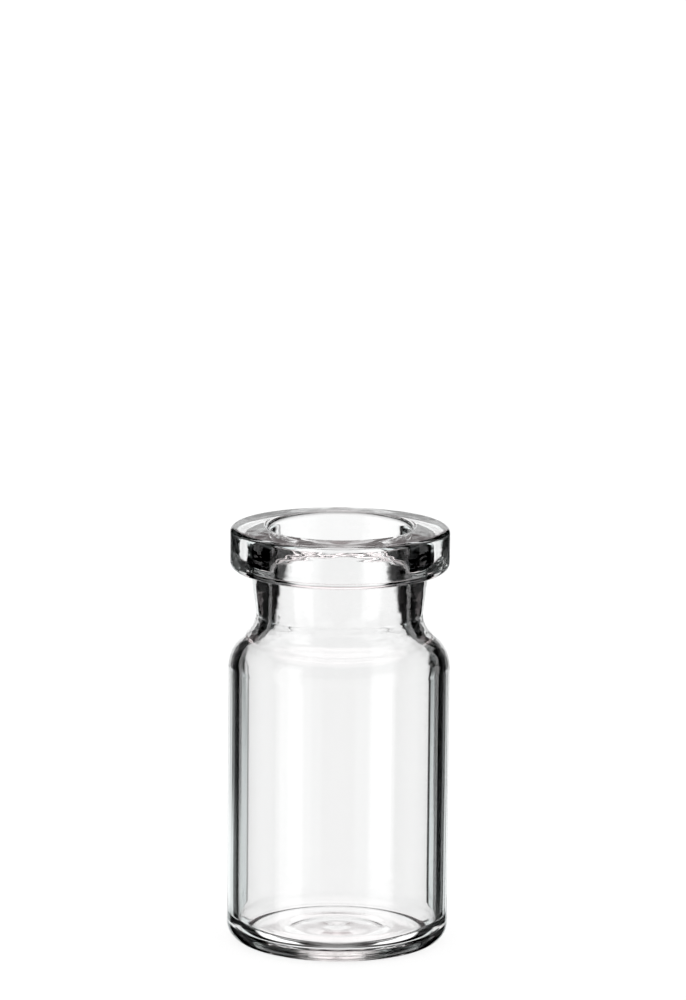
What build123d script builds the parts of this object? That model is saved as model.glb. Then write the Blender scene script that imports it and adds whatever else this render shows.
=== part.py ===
from build123d import *
from math import acos, degrees
import os

# A clear glass sample vial, formed from one length of glass tube.
# It has a flat bottom, straight walls, a drawn-in neck and a crimp flange
# that a stopper and an aluminium cap are closed over. It is one piece of
# glass, so it is one solid: an outer form, turned about Z, less its hollow.
# Sizes are in millimetres. The origin is the centre of the bottom, on the
# surface that the vial stands on, and +Z runs up through the mouth.

# Body
vial_height = 38.5
body_diameter = 20.2
wall_thickness = 1.0
body_height = 25.5

# Bottom
heel_radius = 1.6
bearing_ring_inner_diameter = 12.0
push_up = 0.16
floor_thickness = 1.03
floor_corner_radius = 1.65
floor_crown = 0.14
floor_ring_diameter = 10.4
floor_ring_height = 0.16
floor_valley_diameter = 7.6
floor_valley_height = 0.05
floor_dimple_diameter = 3.6
floor_dimple_depth = 0.06

# Shoulder
shoulder_radius = 3.5
throat_radius = 2.8
inner_body_height = 25.4
inner_shoulder_radius = 2.6
inner_throat_radius = 3.5

# Neck and mouth
neck_diameter = 16.1
waist_diameter = 15.2
neck_root_radius = 0.5
bore_diameter = 12.8
mouth_edge_radius = 0.6

# Crimp flange
flange_diameter = 20.0
flange_height = 4.0
flange_top_edge_radius = 0.5
flange_lower_edge_radius = 0.8

body_radius = body_diameter / 2
inner_radius = body_radius - wall_thickness
waist_radius = waist_diameter / 2
neck_radius = neck_diameter / 2
bore_radius = bore_diameter / 2
flange_radius = flange_diameter / 2
flange_underside = vial_height - flange_height


def s_curve_turn(step, first_radius, second_radius):
    """Angle of each arc of an S-curve that moves sideways by step."""
    return degrees(acos(1 - step / (first_radius + second_radius)))


def rims_at(vial, radius, height):
    """Circular edges of the vial with this radius at this height."""
    circles = vial.edges().filter_by(GeomType.CIRCLE)
    return circles.filter_by(
        lambda rim: abs(rim.radius - radius) < 0.001
        and abs(rim.center().Z - height) < 0.001
    )


outer_turn = s_curve_turn(body_radius - waist_radius, shoulder_radius, throat_radius)
inner_turn = s_curve_turn(
    inner_radius - bore_radius, inner_shoulder_radius, inner_throat_radius
)

with BuildPart() as glass_vial:
    # Outside: shallow push-up, bearing ring, heel, body, shoulder, neck, flange
    with BuildSketch(Plane.XZ):
        with BuildLine():
            under = TangentArc(
                (0, push_up), (bearing_ring_inner_diameter / 2, 0), tangent=(1, 0)
            )
            ring = Line(under @ 1, (body_radius - heel_radius, 0))
            heel = JernArc(ring @ 1, (1, 0), heel_radius, 90)
            side = Line(heel @ 1, (body_radius, body_height))
            shoulder = JernArc(side @ 1, (0, 1), shoulder_radius, outer_turn)
            throat = JernArc(shoulder @ 1, shoulder % 1, throat_radius, -outer_turn)
            neck = Line(throat @ 1, (neck_radius, flange_underside))
            flange = Polyline(
                neck @ 1,
                (flange_radius, flange_underside),
                (flange_radius, vial_height),
                (0, vial_height),
            )
            Line(flange @ 1, under @ 0)
        make_face()
    revolve(axis=Axis.Z)

    # Edges of the flange, rounded in the flame, and its root on the neck
    fillet(rims_at(glass_vial, flange_radius, vial_height), flange_top_edge_radius)
    fillet(
        rims_at(glass_vial, flange_radius, flange_underside), flange_lower_edge_radius
    )
    fillet(rims_at(glass_vial, neck_radius, flange_underside), neck_root_radius)

    # Hollow: floor with the rings of its forming, round corner, wall and bore
    with BuildSketch(Plane.XZ):
        with BuildLine():
            floor = Spline(
                (0, floor_thickness + floor_crown - floor_dimple_depth),
                (floor_dimple_diameter / 2, floor_thickness + floor_crown),
                (floor_valley_diameter / 2, floor_thickness + floor_valley_height),
                (floor_ring_diameter / 2, floor_thickness + floor_ring_height),
                (inner_radius - floor_corner_radius, floor_thickness),
                tangents=((1, 0), (1, 0)),
            )
            corner = JernArc(floor @ 1, (1, 0), floor_corner_radius, 90)
            inner_side = Line(corner @ 1, (inner_radius, inner_body_height))
            inner_shoulder = JernArc(
                inner_side @ 1, (0, 1), inner_shoulder_radius, inner_turn
            )
            inner_throat = JernArc(
                inner_shoulder @ 1, inner_shoulder % 1, inner_throat_radius, -inner_turn
            )
            bore = Line(inner_throat @ 1, (bore_radius, vial_height))
            mouth = Line(bore @ 1, (0, vial_height))
            Line(mouth @ 1, floor @ 0)
        make_face()
    revolve(axis=Axis.Z, mode=Mode.SUBTRACT)

    # Inner edge of the mouth
    fillet(rims_at(glass_vial, bore_radius, vial_height), mouth_edge_radius)

glass_vial.part.label = "glass_vial"

os.makedirs("parts", exist_ok=True)
export_step(glass_vial.part, "parts/glass_vial.step")

box = glass_vial.part.bounding_box()
print("glass vial", round(box.size.X, 2), "x", round(box.size.Z, 2), "mm")
print("glass volume", round(glass_vial.part.volume), "cubic mm")
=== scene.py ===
# %% [markdown]
# A clear glass sample vial
#
# This lesson dresses one small piece of laboratory glass: an empty vial with a
# flat bottom, a drawn-in neck and a crimp flange. It has no colour of its own,
# so nearly all that the eye reads comes from two things. One is the exact
# section of the glass, because it bends the light. The other is what stands
# round the vial in the studio, because that is what the bent light shows.

# %% Load the measured model
import math

import bmesh
import bpy
from mathutils import Euler, Matrix, Vector, noise


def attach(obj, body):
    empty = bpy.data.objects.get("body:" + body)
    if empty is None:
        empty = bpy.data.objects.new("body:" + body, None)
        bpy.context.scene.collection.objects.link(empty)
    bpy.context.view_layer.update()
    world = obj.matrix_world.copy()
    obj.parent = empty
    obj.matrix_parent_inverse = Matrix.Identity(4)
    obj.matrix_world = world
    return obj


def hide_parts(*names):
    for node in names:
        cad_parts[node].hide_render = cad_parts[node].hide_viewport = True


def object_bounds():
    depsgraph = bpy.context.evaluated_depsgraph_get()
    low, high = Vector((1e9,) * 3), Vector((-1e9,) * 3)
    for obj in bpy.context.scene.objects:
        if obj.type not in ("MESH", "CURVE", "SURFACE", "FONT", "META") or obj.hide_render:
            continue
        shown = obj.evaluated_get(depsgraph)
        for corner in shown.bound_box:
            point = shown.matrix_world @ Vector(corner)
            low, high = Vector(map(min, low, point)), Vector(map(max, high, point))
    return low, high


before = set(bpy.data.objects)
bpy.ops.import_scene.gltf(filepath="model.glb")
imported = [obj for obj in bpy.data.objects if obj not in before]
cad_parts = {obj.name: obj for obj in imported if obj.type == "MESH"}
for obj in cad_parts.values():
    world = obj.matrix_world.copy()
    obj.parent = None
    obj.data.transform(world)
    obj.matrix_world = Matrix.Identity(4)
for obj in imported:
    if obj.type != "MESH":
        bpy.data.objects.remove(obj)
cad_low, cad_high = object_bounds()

MM = 0.001
vial_height = cad_high.z
print("nodes:", sorted(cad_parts))
print("size in mm:", [round(side / MM, 2) for side in cad_high - cad_low])

# %% [markdown]
# The view
#
# The photographer stood the vial low in a tall frame, and looked down on it by
# about eleven degrees from half a metre away, with a long lens. A long lens
# keeps the walls parallel and the ellipse of the mouth flat. The camera could be
# aimed at the vial and then shifted, but a shift follows the camera into every
# other view. So it is aimed a little above the vial instead.

# %% Place the camera
CAMERA_DISTANCE = 0.500
CAMERA_ABOVE_MOUTH = 0.0954
LENS = 202.0
PITCH = math.radians(10.54)
YAW = math.radians(-0.026)
ROLL = math.radians(0.5)

camera_data = bpy.data.cameras.new("camera")
camera_data.lens = LENS
camera_data.clip_start = 0.01
camera_data.clip_end = 20.0
camera = bpy.data.objects.new("camera", camera_data)
bpy.context.scene.collection.objects.link(camera)
bpy.context.scene.camera = camera

camera.location = (0.0, -CAMERA_DISTANCE, vial_height + CAMERA_ABOVE_MOUTH)
look = Euler((math.pi / 2 - PITCH, 0.0, YAW), "XYZ").to_matrix()
camera.rotation_euler = (look @ Matrix.Rotation(ROLL, 3, "Z")).to_euler()
print("camera:", [round(x, 4) for x in camera.location], "lens", LENS)

# %% [markdown]
# The section of the glass
#
# A vial is formed from a spinning tube. Rollers draw the neck in and press the
# flange, and the bottom is closed in a flame. So the whole shape is one section
# turned round an axis. It could be a cylinder with modifiers, but the radii at
# the heel, the shoulder and the lips are what bend the light, so the section is
# drawn as true arcs and straight lines. A helper walks along each of them in
# even steps: short where the glass curves, long where it runs straight.

# %% Helpers that walk along lines and arcs
def walk_line(start, end, step):
    """Points from start to end, without the last one."""
    a, b = Vector(start), Vector(end)
    count = max(1, round((b - a).length / step))
    return [a.lerp(b, i / count) for i in range(count)]


def walk_arc(centre, radius, first, last, step):
    """Points on an arc between two angles in degrees, without the last one."""
    a, b = math.radians(first), math.radians(last)
    count = max(3, round(abs(b - a) * radius / step))
    turns = [a + (b - a) * i / count for i in range(count)]
    return [Vector((centre[0] + radius * math.cos(t), centre[1] + radius * math.sin(t))) for t in turns]


print("a quarter circle of 1 mm in steps of 0.1 mm:", len(walk_arc((0, 0), 1.0, 0, 90, 0.1)), "points")

# %% [markdown]
# Sizes and steps of the section
#
# The height and the width come from the measured model. The body is kept a
# ten-thousandth of a millimetre inside it, so that rounding can't push it out.
# The other sizes are those of the vial itself. The steps are chosen by what the
# light does: at a rounded edge it turns fast, and along the wall hardly at all.

# %% Sizes of the outside and steps, in millimetres
KEEP_INSIDE = 0.0001
HEIGHT = vial_height / MM
BODY_RADIUS = round(cad_high.x / MM, 3) - KEEP_INSIDE
HEEL_RADIUS = 1.6
RING_INNER_RADIUS = 6.0
PUSH_UP = 0.16
BODY_HEIGHT = 25.5
SHOULDER_RADIUS = 3.5
THROAT_RADIUS = 2.8
WAIST_RADIUS = 7.6
NECK_RADIUS = 8.05
NECK_ROOT_RADIUS = 0.5
FLANGE_RADIUS = 10.0
FLANGE_HEIGHT = 4.0
FLANGE_TOP_EDGE = 0.5
FLANGE_TOP_FALL = 0.08
FLANGE_LOWER_EDGE = 0.8

EDGE_STEP = 0.08
CURVE_STEP = 0.1
FLOOR_STEP = 0.16
BORE_STEP = 0.2
RING_STEP = 0.3
BOTTOM_STEP = 0.35
WALL_STEP = 1.6
print("body radius in mm:", round(BODY_RADIUS, 4))

# %% [markdown]
# Two curves that a vial needs
#
# The shoulder is an S of two arcs that meet at one slope. The angle of that
# slope follows from how far the S has to move inwards, so the arcs always meet
# smoothly. The bottom is pushed up a little, as a shallow cap of a large ball.
# Both could be drawn by hand as curves, but a formula keeps them exact.

# %% S curve and dome
def s_curve_angle(step_in, first_radius, second_radius):
    """Slope in degrees at which two arcs meet, to move sideways by step_in."""
    return math.degrees(math.acos(1 - step_in / (first_radius + second_radius)))


def s_curve_rise(turn, first_radius, second_radius):
    """Height of an S whose arcs meet at a slope of turn degrees."""
    return (first_radius + second_radius) * math.sin(math.radians(turn))


def dome(height, radius, step):
    """Shallow spherical cap from the axis out to radius, falling by height."""
    ball = (radius ** 2 + height ** 2) / (2 * height)
    edge = math.degrees(math.asin(radius / ball))
    return walk_arc((0, height - ball), ball, 90, 90 - edge, step)


print("points across the bottom:", len(dome(PUSH_UP, RING_INNER_RADIUS, BOTTOM_STEP)))

# %% [markdown]
# Round the outside
#
# The outside runs from the middle of the bottom out to the heel, up the wall,
# over the shoulder into the neck, and round the crimp flange. The flange top
# falls a trace towards its rim, as a fire-polished one does. It is a small
# thing, but it decides what the top mirrors.

# %% Walk round the outside
def outside():
    """The outer surface, from the centre of the bottom to the top of the flange."""
    turn = s_curve_angle(BODY_RADIUS - WAIST_RADIUS, SHOULDER_RADIUS, THROAT_RADIUS)
    waist = BODY_HEIGHT + s_curve_rise(turn, SHOULDER_RADIUS, THROAT_RADIUS)
    heel = (BODY_RADIUS - HEEL_RADIUS, HEEL_RADIUS)
    shoulder = (BODY_RADIUS - SHOULDER_RADIUS, BODY_HEIGHT)
    underside = HEIGHT - FLANGE_HEIGHT
    rim = HEIGHT - FLANGE_TOP_FALL
    root = (NECK_RADIUS + NECK_ROOT_RADIUS, underside - NECK_ROOT_RADIUS)
    lower_edge = (FLANGE_RADIUS - FLANGE_LOWER_EDGE, underside + FLANGE_LOWER_EDGE)
    top_edge = (FLANGE_RADIUS - FLANGE_TOP_EDGE, rim - FLANGE_TOP_EDGE)

    points = dome(PUSH_UP, RING_INNER_RADIUS, BOTTOM_STEP)
    points += walk_line((RING_INNER_RADIUS, 0), (heel[0], 0), RING_STEP)
    points += walk_arc(heel, HEEL_RADIUS, -90, 0, CURVE_STEP)
    points += walk_line((BODY_RADIUS, HEEL_RADIUS), (BODY_RADIUS, BODY_HEIGHT), WALL_STEP)
    points += walk_arc(shoulder, SHOULDER_RADIUS, 0, turn, CURVE_STEP)
    points += walk_arc((WAIST_RADIUS + THROAT_RADIUS, waist), THROAT_RADIUS, 180 + turn, 180, CURVE_STEP)
    points += walk_line((WAIST_RADIUS, waist), (NECK_RADIUS, root[1]), CURVE_STEP)
    points += walk_arc(root, NECK_ROOT_RADIUS, 180, 90, EDGE_STEP)
    points += walk_line((root[0], underside), (lower_edge[0], underside), BORE_STEP)
    points += walk_arc(lower_edge, FLANGE_LOWER_EDGE, -90, 0, EDGE_STEP)
    points += walk_line((FLANGE_RADIUS, lower_edge[1]), (FLANGE_RADIUS, top_edge[1]), CURVE_STEP)
    points += walk_arc(top_edge, FLANGE_TOP_EDGE, 0, 90, EDGE_STEP)
    return points


outer_points = outside()
print("points on the outside:", len(outer_points))

# %% [markdown]
# The floor
#
# The floor of a vial is never flat. Its faint rings come from the flame and the
# tool that closed it. They could be a bump in the material, but they bend the
# light that comes up through the bottom, so they are drawn as a smooth curve
# through a few heights. The list says how far out each one is, and how high.

# %% Sizes of the inside and the floor's rings, in millimetres
BORE_RADIUS = 6.4
MOUTH_EDGE = 0.6
WALL = 1.0
INNER_BODY_HEIGHT = 25.4
INNER_SHOULDER_RADIUS = 2.6
INNER_THROAT_RADIUS = 3.5
FLOOR_HEIGHT = 1.03
FLOOR_CORNER = 1.65
FLOOR_KNOTS = ((0.0, 0.08), (1.8, 0.14), (3.8, 0.05), (5.2, 0.16))


def ease(t):
    """A smooth ramp from 0 to 1, level at both ends."""
    return t * t * (3 - 2 * t)


def smooth_through(knots, x):
    """Height at x on a smooth curve through the knots, level at each of them."""
    for (x0, y0), (x1, y1) in zip(knots, knots[1:]):
        if x <= x1:
            return y0 + (y1 - y0) * ease((x - x0) / (x1 - x0))
    return knots[-1][1]


print("floor heights in mm:", [round(FLOOR_HEIGHT + smooth_through(FLOOR_KNOTS, x), 2) for x in range(6)])

# %% [markdown]
# Down the inside
#
# From the top of the flange the inside runs back down: over the rounded lip,
# through the bore, out under the shoulder, down the wall and round the corner
# onto the floor. It has an S of its own, because the rollers squeeze the glass
# and the two sides of the wall don't stay parallel.

# %% Walk down the inside
def inside():
    """The inner surface, from the top of the flange to the centre of the floor."""
    inner_radius = BODY_RADIUS - WALL
    turn = s_curve_angle(inner_radius - BORE_RADIUS, INNER_SHOULDER_RADIUS, INNER_THROAT_RADIUS)
    bore_foot = INNER_BODY_HEIGHT + s_curve_rise(turn, INNER_SHOULDER_RADIUS, INNER_THROAT_RADIUS)
    rim = (FLANGE_RADIUS - FLANGE_TOP_EDGE, HEIGHT - FLANGE_TOP_FALL)
    lip = (BORE_RADIUS + MOUTH_EDGE, HEIGHT - MOUTH_EDGE)
    throat = (BORE_RADIUS + INNER_THROAT_RADIUS, bore_foot)
    shoulder = (inner_radius - INNER_SHOULDER_RADIUS, INNER_BODY_HEIGHT)
    corner = (inner_radius - FLOOR_CORNER, FLOOR_HEIGHT + FLOOR_CORNER)

    points = walk_line(rim, (lip[0], HEIGHT), FLOOR_STEP)
    points += walk_arc(lip, MOUTH_EDGE, 90, 180, EDGE_STEP)
    points += walk_line((BORE_RADIUS, lip[1]), (BORE_RADIUS, bore_foot), BORE_STEP)
    points += walk_arc(throat, INNER_THROAT_RADIUS, 180, 180 + turn, CURVE_STEP)
    points += walk_arc(shoulder, INNER_SHOULDER_RADIUS, turn, 0, CURVE_STEP)
    points += walk_line((inner_radius, INNER_BODY_HEIGHT), (inner_radius, corner[1]), WALL_STEP)
    points += walk_arc(corner, FLOOR_CORNER, 0, -90, EDGE_STEP)
    knots = FLOOR_KNOTS + ((corner[0], 0.0),)
    for point in walk_line((corner[0], 0), (0, 0), FLOOR_STEP):
        points.append(Vector((point.x, FLOOR_HEIGHT + smooth_through(knots, point.x))))
    points.append(Vector((0, FLOOR_HEIGHT + FLOOR_KNOTS[0][1])))
    return points


inner_points = inside()
print("points on the inside:", len(inner_points))

# %% [markdown]
# Tool ripples
#
# Rollers and a plug shape the hot neck, and they leave it faintly ribbed and a
# little lumpy. The ribs are a few thousandths of a millimetre high, far too
# small to see as shape, but they tilt the surface by a degree or so, and the
# dark bands in the neck get ragged edges. The drawn tube of the body has none.
# A bump map could fake this on the outside alone. Real ripples in the mesh bend
# the light on its way in and on its way out.

# %% Ripple depth at a point of the section
THROAT_RIPPLE = 0.002
NECK_RIPPLE = 0.004
THROAT_MIDDLE = 28.4
THROAT_SPREAD = 1.7
RIBS_START = BODY_HEIGHT - 0.5
RIBS_FADE = 3.0
RIB_LENGTHS = (0.45, 0.8, 1.4)
LUMP_ROUND = 0.9
LUMP_UP = 0.5
LUMP_SHARE = 1.4
TINY = 1e-6


def rib_height(height):
    """Height of the ribs: none on the plain tube of the body, most in the throat."""
    t = min(1.0, max(0.0, (height - RIBS_START) / RIBS_FADE))
    throat = math.exp(-((height - THROAT_MIDDLE) / THROAT_SPREAD) ** 2)
    return ease(t) * (NECK_RIPPLE + THROAT_RIPPLE * throat)


def ripple(radius, height, angle, start_phase):
    """Push along the normal in millimetres at a point of the skin, never outwards."""
    depth = rib_height(height)
    if depth < TINY:
        return 0.0
    waves = [math.sin(math.tau * height / length + start_phase * length) for length in RIB_LENGTHS]
    across = Vector((math.cos(angle), math.sin(angle))) * radius / LUMP_ROUND
    lump = noise.noise(Vector((across.x, across.y, height / LUMP_UP + start_phase)))
    return -depth * max(0.0, 1 + sum(waves) / len(waves) + LUMP_SHARE * lump)


print("height of the ribs in the throat in mm:", round(rib_height(THROAT_MIDDLE), 4))

# %% [markdown]
# Rings of vertices
#
# The Screw modifier could turn a profile, but it turns every point alike, and
# here the ripples differ a little round the vial. So the mesh is made ring by
# ring: each point of the section becomes a ring of vertices, pushed in along
# its own normal by the ripple. The two ends lie on the axis and close as fans.

# %% Make rings and join them
SEGMENTS = 220


def section_normals(points):
    """Unit normals of the section, pointing out of the glass."""
    normals = []
    for i, point in enumerate(points):
        before = points[max(i - 1, 0)]
        after = points[min(i + 1, len(points) - 1)]
        along = (after - before).normalized()
        normals.append(Vector((along.y, -along.x)))
    return normals


def make_ring(mesh, point, normal, start_phase):
    """The vertices of one ring, or the single one of a point on the axis."""
    if point.x < TINY:
        return [mesh.verts.new((0, 0, point.y * MM))]
    ring = []
    for k in range(SEGMENTS):
        angle = math.tau * k / SEGMENTS
        push = ripple(point.x, point.y, angle, start_phase)
        radius = point.x + normal.x * push
        height = point.y + normal.y * push
        place = (radius * math.cos(angle) * MM, radius * math.sin(angle) * MM, height * MM)
        ring.append(mesh.verts.new(place))
    return ring


def join_rings(mesh, lower, upper):
    """Faces between two rings that follow each other."""
    for k in range(SEGMENTS):
        after = (k + 1) % SEGMENTS
        if len(lower) == 1:
            mesh.faces.new((lower[0], upper[after], upper[k]))
        elif len(upper) == 1:
            mesh.faces.new((lower[k], lower[after], upper[0]))
        else:
            mesh.faces.new((lower[k], lower[after], upper[after], upper[k]))


print("triangles in one band of the skin:", 2 * SEGMENTS)

# %% [markdown]
# Turning the section
#
# Outside and inside are one closed skin: the light has to meet glass, then air,
# then glass again. Two separate surfaces would leave it open to doubt which side
# is glass. The inside starts its ripples at another phase, because the plug in
# the bore and the rollers outside don't press in step.

# %% Turn the section into one closed skin
INNER_PHASE = 2.0


def place_mesh(name, mesh):
    """Put a finished mesh into the scene as an object."""
    data = bpy.data.meshes.new(name)
    mesh.to_mesh(data)
    mesh.free()
    piece = bpy.data.objects.new(name, data)
    bpy.context.scene.collection.objects.link(piece)
    return piece


def turn_section(name, points, where_inside):
    """A closed surface of revolution with the ripples pressed into it."""
    mesh = bmesh.new()
    rings = []
    for i, (point, normal) in enumerate(zip(points, section_normals(points))):
        start_phase = INNER_PHASE if i >= where_inside else 0.0
        rings.append(make_ring(mesh, point, normal, start_phase))
    for lower, upper in zip(rings, rings[1:]):
        join_rings(mesh, lower, upper)
    for face in mesh.faces:
        face.smooth = True
    return place_mesh(name, mesh)


vial = turn_section("vial_glass", outer_points + inner_points, len(outer_points))
print("faces:", len(vial.data.polygons), "rings:", len(outer_points) + len(inner_points))

# %% [markdown]
# Clear glass
#
# The glass is colourless and fire-polished, so its surface is smooth. A Glass
# BSDF alone would do, but the Principled shader carries its refraction into an
# exported model as well. The wall is a closed skin with a hollow inside it, so
# light bends at all four surfaces as it does in the real thing. A trace of green
# is added in the depth of the glass. It builds up only where the light runs far
# through it, as it does in the bottom and in the flange.

# %% Make the glass
GLASS_IOR = 1.52
DEPTH_COLOUR = (0.72, 0.86, 0.82, 1.0)
DEPTH_DENSITY = 8.0


def make_glass():
    """Clear glass with a trace of green in its depth."""
    material = bpy.data.materials.new("clear_glass")
    material.use_nodes = True
    nodes, links = material.node_tree.nodes, material.node_tree.links
    shader = nodes["Principled BSDF"]
    shader.inputs["Base Color"].default_value = (1.0, 1.0, 1.0, 1.0)
    shader.inputs["Roughness"].default_value = 0.0
    shader.inputs["IOR"].default_value = GLASS_IOR
    shader.inputs["Transmission Weight"].default_value = 1.0
    absorb = nodes.new("ShaderNodeVolumeAbsorption")
    absorb.inputs["Color"].default_value = DEPTH_COLOUR
    absorb.inputs["Density"].default_value = DEPTH_DENSITY
    links.new(absorb.outputs["Volume"], nodes["Material Output"].inputs["Volume"])
    return material


glass = make_glass()
vial.data.materials.append(glass)
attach(vial, "root")
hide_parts("glass_vial")
print("glass:", glass.name, "index", GLASS_IOR)

# %% [markdown]
# The studio
#
# Glass is photographed by what is put round it. Behind this vial hangs a narrow
# lane of white paper, and at both sides of it there is nothing but a dark room.
# The straight walls bend light sideways, so the dark shows only as thin lines at
# the vial's edges, and they draw its outline on a white page. Two tall soft
# lights beside the photographer give the broad white streaks. A white ceiling
# and a pale table light the mouth and the bottom.
#
# Every card is a patch of direction, as the vial sees it: from side to side in
# degrees, with 0 behind the vial and plus to the right, then from low to high,
# with 0 level with the line of sight. Two numbers say how soft its edges are.
# Most cards are white. A few are faintly cool or pink, because real paper and
# real lamps are, and the photo shows it in the edges and in the bottom.

# %% Cards that shine, and dark things in front of them
LIGHT_CARDS = (
    # name, tint, left, right, low, high, side softness, height softness, brightness
    ("foot of the lane", "white", -14, 14, -30, -2.4, 2, 1.5, 0.8),
    ("left shoulder of the lane", "cool", -27.5, -14, -20, -2.4, 2, 4, 1.02),
    ("right shoulder of the lane", "cool", 14, 21, -20, -2.4, 2, 4, 1.05),
    ("middle of the lane", "white", -13, 13, -24, -2.4, 2, 1.5, 0.22),
    ("white lane", "white", -16, 13, -2.4, 17, 4, 1.5, 1.0),
    ("left side of the lane", "white", -14, -5, -30, 17, 4, 1.5, 0.1),
    ("right side of the lane", "white", 5, 13, -30, 17, 4, 1.5, 0.1),
    ("lane above, dim part", "white", -12, 12, 17, 19.5, 4, 1.5, 0.7),
    ("lane above, strip light", "white", -12, 12, 19.5, 23, 4, 1.5, 1.1),
    ("lane above, dim again", "pink", -12, 12, 23, 29, 4, 1.5, 0.45),
    ("top of the lane", "pink", -12, 12, 29, 56, 4, 2, 1.3),
    ("wing at the left", "cool", -31, -27.5, -12, -4, 2, 4, 0.2),
    ("glow at the left", "cool", -70, -42, -14, -8, 6, 3, 0.06),
    ("glow at the right", "cool", 22, 66, -14, -8, 6, 3, 0.06),
    ("strip of table", "white", -7, 7, -50, -30, 4, 6, 0.6),
    ("table behind the vial", "white", -24, 24, -72, -50, 6, 6, 0.25),
    ("table at the left", "white", -60, -36, -62, -36, 4, 4, 1.3),
    ("table at the right", "white", 36, 60, -62, -36, 4, 4, 1.3),
    # painted shadow: this card is kept dim to stand for the shade the vial casts on the table under it
    ("shadow of the vial on the table", "white", -70, 60, -90, -72, 10, 8, 0.2),
    ("table in front, left", "white", -160, -108, -90, -46, 10, 10, 0.75),
    ("table in front, right", "white", 108, 160, -90, -46, 10, 10, 0.75),
    ("table near the camera, left", "pink", -180, -160, -90, -20, 6, 10, 0.22),
    ("table near the camera, right", "pink", 160, 180, -90, -20, 6, 10, 0.22),
    ("soft light, left", "white", -139, -109, -42, 38, 2.5, 8, 1.35),
    ("soft light, right", "white", 116, 146, -42, 20, 3, 8, 0.85),
    ("room behind the camera, left", "white", -180, -139, -20, 10, 2.5, 10, 0.4),
    ("room behind the camera, right", "white", 146, 180, -20, 10, 3, 10, 0.4),
    ("room below the lights, left", "white", -160, -139, -46, -20, 2.5, 10, 0.4),
    ("room below the lights, right", "white", 146, 160, -46, -20, 3, 10, 0.4),
    ("ceiling, left", "pink", -180, -60, 52, 90, 20, 8, 1.4),
    ("ceiling, right", "pink", 60, 180, 52, 90, 20, 8, 1.4),
    ("ceiling overhead", "pink", -180, 180, 70, 90, 20, 8, 0.8),
)
DARK_THINGS = (
    # name, left, right, low, high, side softness, height softness, share of light it stops
    ("cord at the left", -14.0, -12.8, -50, 2, 0.8, 4, 0.5),
    ("cord at the right", 12.7, 14.4, -12, 2, 0.8, 6, 0.95),
    ("veil at the right", 14.0, 18, -20, -2, 1.0, 2, 0.1),
    ("corner cut at the left", -34, -22, -4.6, -1, 2, 1, 0.9),
    ("corner cut at the right", 19, 34, -4.6, -1, 2, 1, 0.9),
    ("gap at the left", -17, -8, -54, -20, 2, 4, 0.8),
    ("gap at the right", 8, 17, -54, -20, 2, 4, 0.8),
)
CARD_TINTS = {
    "white": (1.0, 1.0, 1.0),
    "cool": (0.94, 1.0, 1.0),
    "pink": (1.0, 0.9, 0.91),
}
print("cards:", len(LIGHT_CARDS), "dark things:", len(DARK_THINGS))

# %% [markdown]
# Sums as nodes
#
# A material can do sums with nodes, one operation a node. Written out one by one
# they fill pages, so three helpers add a node and join it up. A card's edges are
# smooth steps, because a hard edge would show as a cut in the glass, and the
# light on real paper falls off softly.

# %% Node helpers
def maths(tree, operation, first, second=None):
    """One Math node. Its inputs are sockets or plain numbers."""
    node = tree.nodes.new("ShaderNodeMath")
    node.operation = operation
    for socket, value in zip(node.inputs, (first, second)):
        if value is None:
            continue
        if isinstance(value, (int, float)):
            socket.default_value = value
        else:
            tree.links.new(value, socket)
    return node.outputs[0]


def vector_maths(tree, operation, first, second=None, scale=None):
    """One Vector Math node. A colour can stand in for its first input."""
    node = tree.nodes.new("ShaderNodeVectorMath")
    node.operation = operation
    if isinstance(first, tuple):
        node.inputs[0].default_value = first
    else:
        tree.links.new(first, node.inputs[0])
    if second is not None:
        tree.links.new(second, node.inputs[1])
    if scale is not None:
        tree.links.new(scale, node.inputs["Scale"])
    return node.outputs[0]


def soft_step(tree, value, middle, softness, rising):
    """A smooth step over softness degrees, from 0 to 1 or from 1 to 0."""
    node = tree.nodes.new("ShaderNodeMapRange")
    node.interpolation_type = "SMOOTHSTEP"
    node.inputs["From Min"].default_value = middle - softness / 2
    node.inputs["From Max"].default_value = middle + softness / 2
    node.inputs["To Min"].default_value = 0.0 if rising else 1.0
    node.inputs["To Max"].default_value = 1.0 if rising else 0.0
    tree.links.new(value, node.inputs["Value"])
    return node.outputs["Result"]


# %% [markdown]
# From cards to light
#
# Each card is cut out of the two angles with up to four soft steps. An edge at
# half a turn, or straight up or down, needs none. Cards of one tint are added up
# first and coloured together, which saves most of the colour nodes.

# %% Cut the cards out and add them up
def patch(tree, side, tilt, card):
    """The card's brightness inside it, 0 outside, soft at its edges."""
    left, right, low, high, side_soft, tilt_soft, strength = card[-7:]
    steps = []
    if left > -180:
        steps.append(soft_step(tree, side, left, side_soft, True))
    if right < 180:
        steps.append(soft_step(tree, side, right, side_soft, False))
    if low > -90:
        steps.append(soft_step(tree, tilt, low, tilt_soft, True))
    if high < 90:
        steps.append(soft_step(tree, tilt, high, tilt_soft, False))
    result = strength
    for step in steps:
        result = maths(tree, "MULTIPLY", step, result)
    return result


def card_light(tree, side, tilt):
    """The colour of all cards together, one tint after another."""
    colour = None
    for tint, shade in CARD_TINTS.items():
        total = 0.0
        for card in LIGHT_CARDS:
            if card[1] == tint:
                total = maths(tree, "ADD", patch(tree, side, tilt, card), total)
        tinted = vector_maths(tree, "SCALE", shade, scale=total)
        colour = tinted if colour is None else vector_maths(tree, "ADD", tinted, colour)
    return colour


# %% [markdown]
# The paint of the tent
#
# The paint turns the direction of each point into the two angles of the cards.
# Light cards add up. Dark things take a share of what is behind them. The paint
# only shines: it has no colour that other light could fall on.

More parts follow.
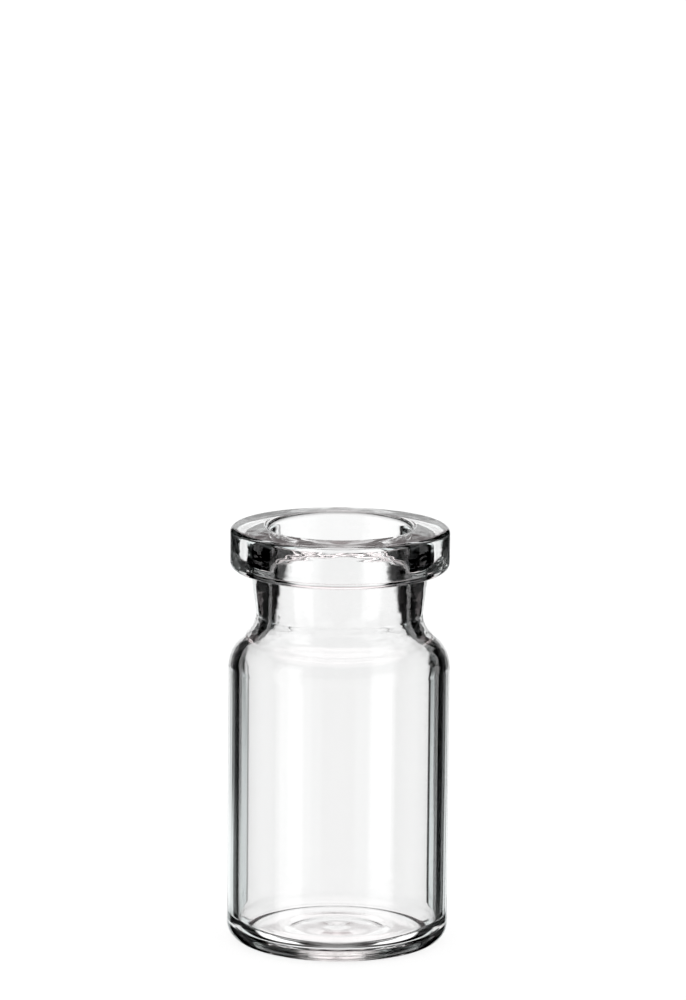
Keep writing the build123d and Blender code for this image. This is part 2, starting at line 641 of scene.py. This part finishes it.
# %% Paint the tent
def direction_angles(tree):
    """How far to the side and how high a point of the tent stands, in degrees."""
    place = tree.nodes.new("ShaderNodeTexCoord")
    split = tree.nodes.new("ShaderNodeSeparateXYZ")
    tree.links.new(place.outputs["Object"], split.inputs[0])
    right, up, back = split.outputs
    ahead = maths(tree, "MULTIPLY", back, -1.0)
    level = maths(tree, "ADD", maths(tree, "MULTIPLY", right, right), maths(tree, "MULTIPLY", back, back))
    side = maths(tree, "ARCTAN2", right, ahead)
    tilt = maths(tree, "ARCTAN2", up, maths(tree, "SQRT", level))
    to_degrees = math.degrees(1)
    return maths(tree, "MULTIPLY", side, to_degrees), maths(tree, "MULTIPLY", tilt, to_degrees)


def make_tent_paint():
    """Light by direction: the sum of the cards, less what dark things hide."""
    material = bpy.data.materials.new("tent_paint")
    material.use_nodes = True
    tree = material.node_tree
    tree.nodes.clear()
    side, tilt = direction_angles(tree)

    passed = 1.0
    for thing in DARK_THINGS:
        passed = maths(tree, "MULTIPLY", maths(tree, "SUBTRACT", 1.0, patch(tree, side, tilt, thing)), passed)

    glow = tree.nodes.new("ShaderNodeEmission")
    tree.links.new(card_light(tree, side, tilt), glow.inputs["Color"])
    tree.links.new(passed, glow.inputs["Strength"])
    output = tree.nodes.new("ShaderNodeOutputMaterial")
    tree.links.new(glow.outputs[0], output.inputs["Surface"])
    material.cycles.emission_sampling = "NONE"
    return material


tent_paint = make_tent_paint()
print("nodes in the paint of the tent:", len(tent_paint.node_tree.nodes))

# %% [markdown]
# Hanging the tent
#
# The cards could be separate sheets with lamps behind them. One large ball round
# the vial, painted by direction, does the same with less to place. Such a set
# turns with the photographer, or the vial stands on a turntable, because from
# the side the dark room would stand behind the glass. So the tent is a child of
# the camera. The camera itself never sees it.

# %% Hang the tent round the vial
TENT_RADIUS = 2.5


def make_tent():
    """A large ball round the vial, turned as the camera is."""
    mesh = bmesh.new()
    bmesh.ops.create_icosphere(mesh, subdivisions=5, radius=TENT_RADIUS)
    tent = place_mesh("studio_tent", mesh)
    tent.data.materials.append(tent_paint)
    tent.parent = camera
    tent.location = (0, 0, -CAMERA_DISTANCE)
    tent.visible_camera = False
    tent.visible_diffuse = False
    tent.visible_shadow = False
    tent.visible_volume_scatter = False
    return tent


tent = make_tent()
print("tent:", TENT_RADIUS, "m in radius, centre", CAMERA_DISTANCE, "m in front of the camera")

# %% [markdown]
# The page
#
# The vial stands on a white floor that runs into a white wall with no line
# between them. The floor gives off most of its white by itself, only to the
# camera, and the last part is plain paint that the soft light of the world
# falls on. That part loses light under the vial, so a faint shadow stays.

# %% Paint of the page
PAGE_GLOW = 0.86
PAGE_PAINT = 0.20
PLAIN_PAINT = 0.8


def make_page():
    """White floor paint that keeps a faint shadow."""
    material = bpy.data.materials.new("page_white")
    material.use_nodes = True
    nodes, links = material.node_tree.nodes, material.node_tree.links
    nodes.clear()
    path = nodes.new("ShaderNodeLightPath")
    plain = nodes.new("ShaderNodeBsdfDiffuse")
    plain.inputs["Color"].default_value = (PLAIN_PAINT, PLAIN_PAINT, PLAIN_PAINT, 1)
    thin = nodes.new("ShaderNodeBsdfDiffuse")
    thin.inputs["Color"].default_value = (PAGE_PAINT, PAGE_PAINT, PAGE_PAINT, 1)
    glow = nodes.new("ShaderNodeEmission")
    glow.inputs["Strength"].default_value = PAGE_GLOW
    both = nodes.new("ShaderNodeAddShader")
    links.new(thin.outputs[0], both.inputs[0])
    links.new(glow.outputs[0], both.inputs[1])
    mix = nodes.new("ShaderNodeMixShader")
    links.new(path.outputs["Is Camera Ray"], mix.inputs[0])
    links.new(plain.outputs[0], mix.inputs[1])
    links.new(both.outputs[0], mix.inputs[2])
    output = nodes.new("ShaderNodeOutputMaterial")
    links.new(mix.outputs[0], output.inputs["Surface"])
    return material


page_white = make_page()
print("page:", PAGE_GLOW, "of its own light and", PAGE_PAINT, "of paint")

# %% [markdown]
# Floor and world
#
# The floor is one flat sheet, wide enough to fill every view. Mirrors and lenses
# of the glass don't see it, because the table cards stand for it there. The
# world gives the soft white light that falls on the paint, and the white wall.

# %% Lay the floor and light the world
FLOOR_SIZE = 6.0


def make_floor():
    """A wide flat sheet under the vial."""
    half = FLOOR_SIZE / 2
    data = bpy.data.meshes.new("floor")
    corners = [(-half, -half, 0), (half, -half, 0), (half, half, 0), (-half, half, 0)]
    data.from_pydata(corners, [], [(0, 1, 2, 3)])
    floor = bpy.data.objects.new("floor", data)
    bpy.context.scene.collection.objects.link(floor)
    data.materials.append(page_white)
    floor.visible_glossy = False
    floor.visible_transmission = False
    return floor


floor = make_floor()
world = bpy.data.worlds.new("white_room")
world.use_nodes = True
world.node_tree.nodes["Background"].inputs["Color"].default_value = (1, 1, 1, 1)
world.node_tree.nodes["Background"].inputs["Strength"].default_value = 1.0
bpy.context.scene.world = world
bpy.context.scene.view_settings.view_transform = "Standard"
print("floor:", [round(side, 2) for side in floor.dimensions])

# %% [markdown]
# Last checks
#
# Light crosses many surfaces on its way through a vial, so a ray may bend more
# often than Blender's default allows. The denoiser works from the colours alone:
# it can also follow hints about surfaces, but seen through clear glass those
# hints are only noise, and they would leave specks in the dark bands.

# %% Finish
MAX_BOUNCES = 16
GLOSSY_BOUNCES = 12
cycles = bpy.context.scene.cycles
cycles.max_bounces = MAX_BOUNCES
cycles.transmission_bounces = MAX_BOUNCES
cycles.glossy_bounces = GLOSSY_BOUNCES
cycles.denoising_input_passes = "RGB"
